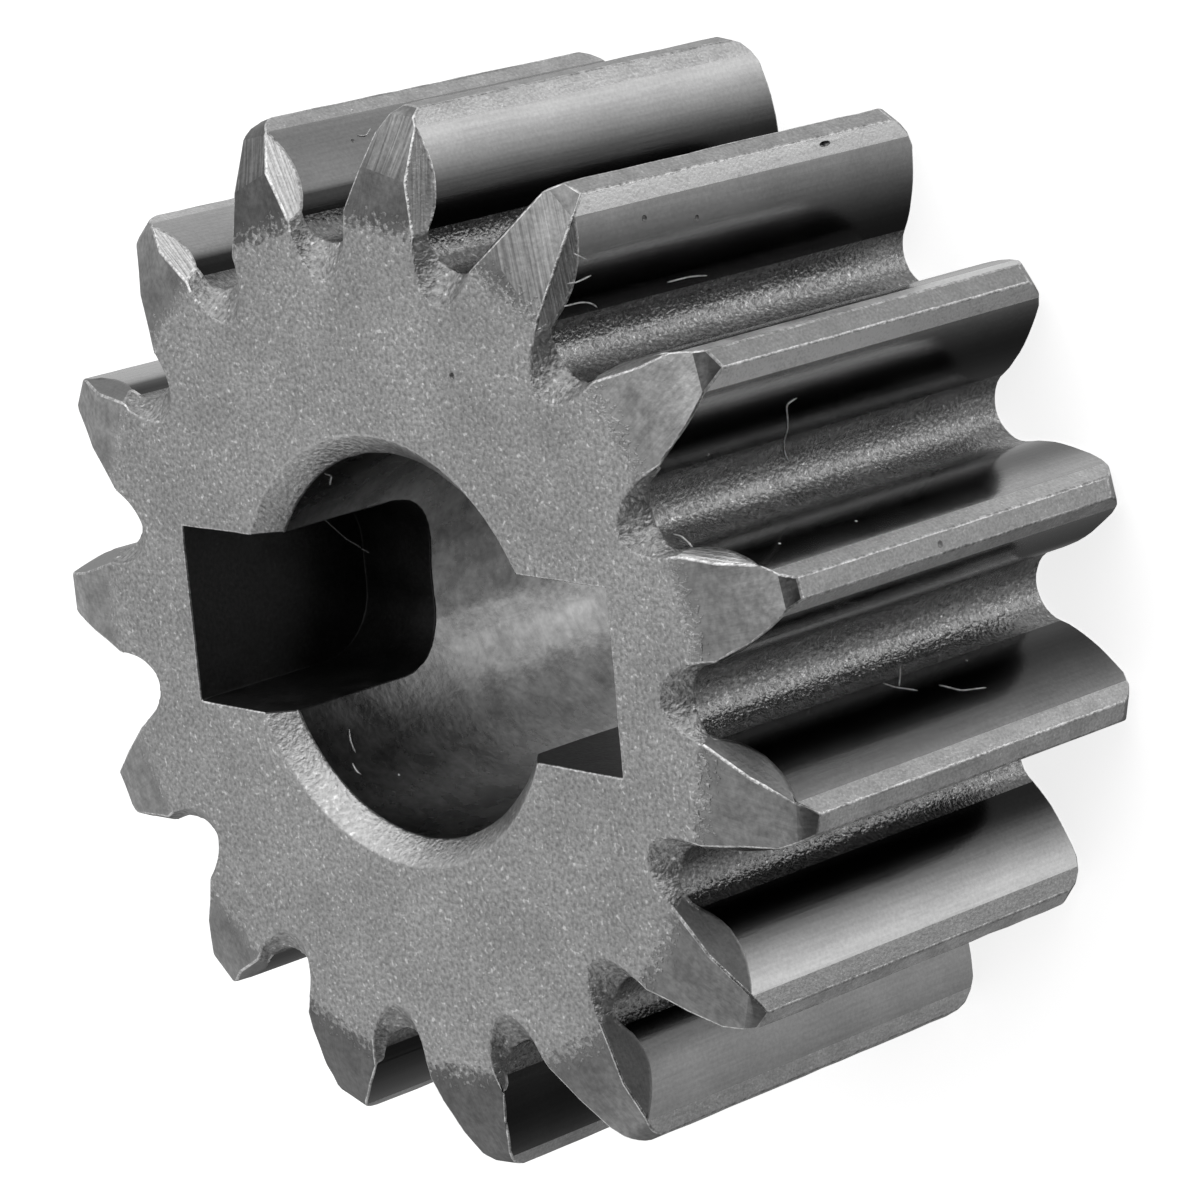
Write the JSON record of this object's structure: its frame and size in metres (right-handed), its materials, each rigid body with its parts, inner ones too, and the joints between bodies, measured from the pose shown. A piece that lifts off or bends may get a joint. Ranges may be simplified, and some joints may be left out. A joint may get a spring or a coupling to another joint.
{
  "type": "pinion gear",
  "caption": "Steel spur pinion with straight involute teeth, dressed tooth ends, a chamfered round bore and opposed blind drive slots open at the front face.",
  "frame": {"origin": "on the bore's axis, in the plane of the flat back face", "axes": "+Z along the bore's axis, towards the face with the drive slots; +X along the slots and through the middle of a tooth"},
  "size_m": [0.0349, 0.035, 0.0165],
  "materials": {
    "steel": "matt, fine-grained grey steel; smoother ground tooth ends and rolled flanks, edges worn bright"
  },
  "bodies": {
    "root": {"pinion_gear": "steel"}
  },
  "joints": []
}
